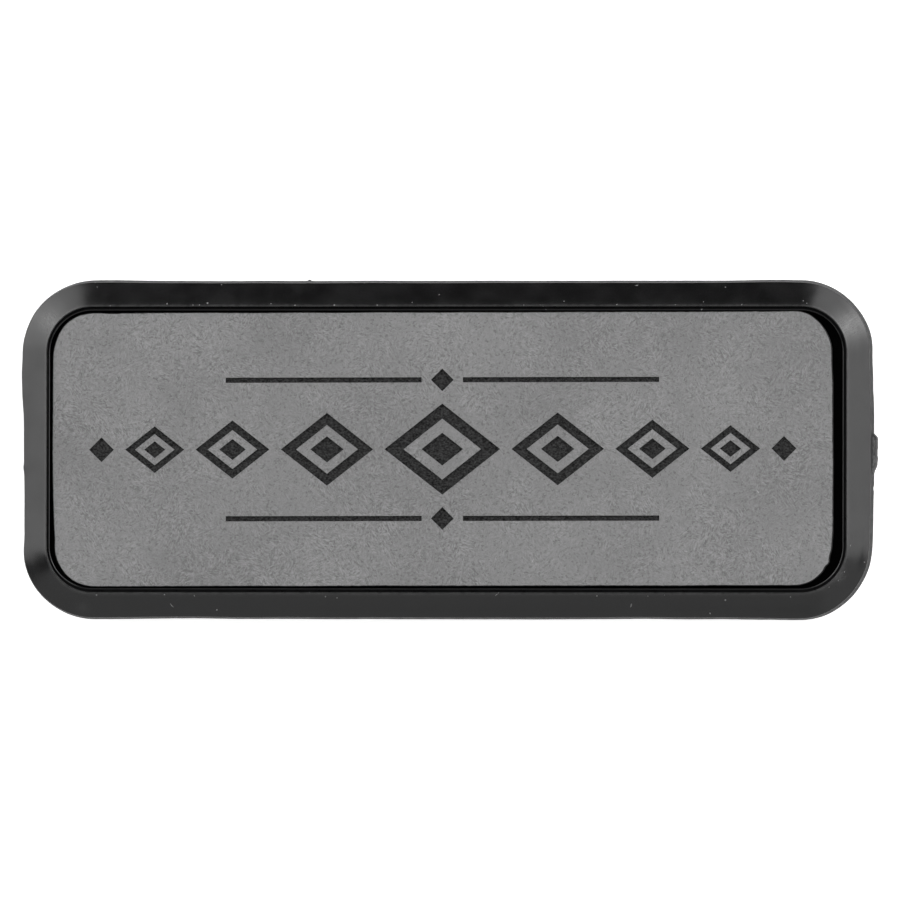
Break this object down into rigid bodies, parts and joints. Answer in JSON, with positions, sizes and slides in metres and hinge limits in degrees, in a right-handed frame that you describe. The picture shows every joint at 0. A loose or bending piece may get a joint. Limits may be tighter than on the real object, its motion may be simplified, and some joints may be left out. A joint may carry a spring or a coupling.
{
  "type": "name badge",
  "caption": "Rounded rectangular name badge: grey leatherette insert with an engraved lozenge design in a black bevelled plastic frame, with a plain magnet bar behind.",
  "frame": {"origin": "middle of the magnet bar's back face, on which the badge lies", "axes": "+X along the badge, to the right of its reader; +Y towards its top edge; +Z out of its face"},
  "size_m": [0.0829, 0.0328, 0.0058],
  "materials": {
    "frame": "moulded black plastic, satin gloss",
    "insert": "grey leatherette, fine fibre grain, charcoal where it is laser engraved",
    "magnet_bar": "brushed nickel-plated steel"
  },
  "bodies": {
    "root": {"frame": "frame", "insert": "insert", "magnet_bar": "magnet_bar"}
  },
  "joints": []
}
